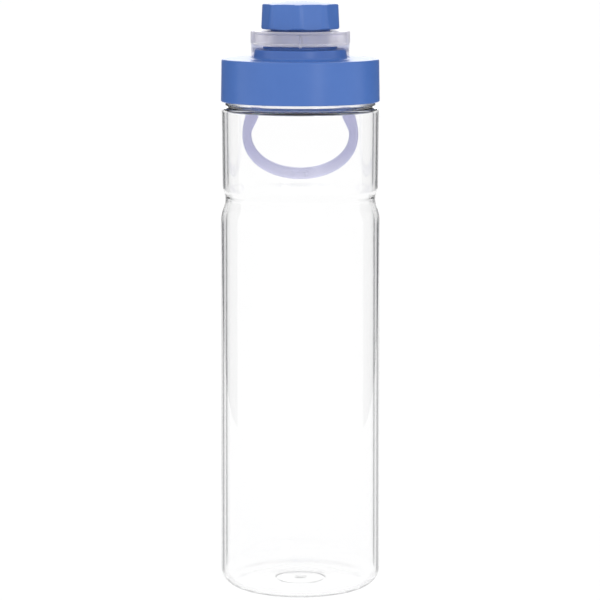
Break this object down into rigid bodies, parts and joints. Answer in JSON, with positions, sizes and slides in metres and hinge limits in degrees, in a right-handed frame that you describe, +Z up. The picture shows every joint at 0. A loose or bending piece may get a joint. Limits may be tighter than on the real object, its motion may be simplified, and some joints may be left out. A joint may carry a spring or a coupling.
{
  "type": "water bottle",
  "caption": "Tall clear water bottle with a wide blue screw lid, a small screw cap on its spout and a soft carry loop hanging behind.",
  "frame": {"origin": "on the bottle's axis, in the plane that it stands on", "axes": "+Z up along the bottle's axis, +Y towards the side where the carry loop hangs, so the front faces -Y"},
  "size_m": [0.0738, 0.078, 0.2705],
  "materials": {
    "clear_plastic": "clear, glossy, blow moulded copolyester",
    "blue_plastic": "satin moulded polypropylene",
    "seal_silicone": "matt white silicone",
    "strap_elastomer": "translucent, slightly frosted moulded elastomer"
  },
  "bodies": {
    "bottle": {"bottle_body": "clear_plastic"},
    "lid_seal": {"lid_gasket": "seal_silicone"},
    "lid": {"lid": "blue_plastic"},
    "cap_disc": {"cap_seal": "seal_silicone"},
    "cap": {"spout_cap": "blue_plastic"},
    "strap_ring": {"carry_ring": "strap_elastomer"},
    "strap_arms": {"carry_arm_left": "strap_elastomer", "carry_arm_right": "strap_elastomer"},
    "strap_loop": {"carry_loop": "strap_elastomer"}
  },
  "joints": [
    {"name": "lid_rise", "type": "slide", "parent": "bottle", "child": "lid_seal", "axis": [0, 0, 1], "range_m": [0, 0.0226]},
    {"name": "lid_turn", "type": "hinge", "parent": "lid_seal", "child": "lid", "pos_m": [0, 0, 0.2424], "axis": [0, 0, 1], "range_deg": [0, 1620]},
    {"name": "cap_rise", "type": "slide", "parent": "lid", "child": "cap_disc", "axis": [0, 0, 1], "range_m": [0, 0.0121]},
    {"name": "cap_turn", "type": "hinge", "parent": "cap_disc", "child": "cap", "pos_m": [0, 0, 0.2673], "axis": [0, 0, 1], "range_deg": [0, 1080]},
    {"name": "strap_swivel", "type": "hinge", "parent": "lid", "child": "strap_ring", "pos_m": [0, 0, 0.2538], "axis": [0, 0, 1], "continuous": true},
    {"name": "strap_lift", "type": "hinge", "parent": "strap_ring", "child": "strap_arms", "pos_m": [0, 0.024, 0.2526], "axis": [1, 0, 0], "range_deg": [0, 100]},
    {"name": "loop_bend", "type": "hinge", "parent": "strap_arms", "child": "strap_loop", "pos_m": [0, 0.0389, 0.2435], "axis": [1, 0, 0], "range_deg": [0, 81]}
  ],
  "couplings": [
    {"joint": "lid_rise", "follows": "lid_turn", "m_per_rad": 0.00079577},
    {"joint": "cap_rise", "follows": "cap_turn", "m_per_rad": 0.00063662},
    {"joint": "loop_bend", "follows": "strap_lift", "ratio": 0.8}
  ]
}
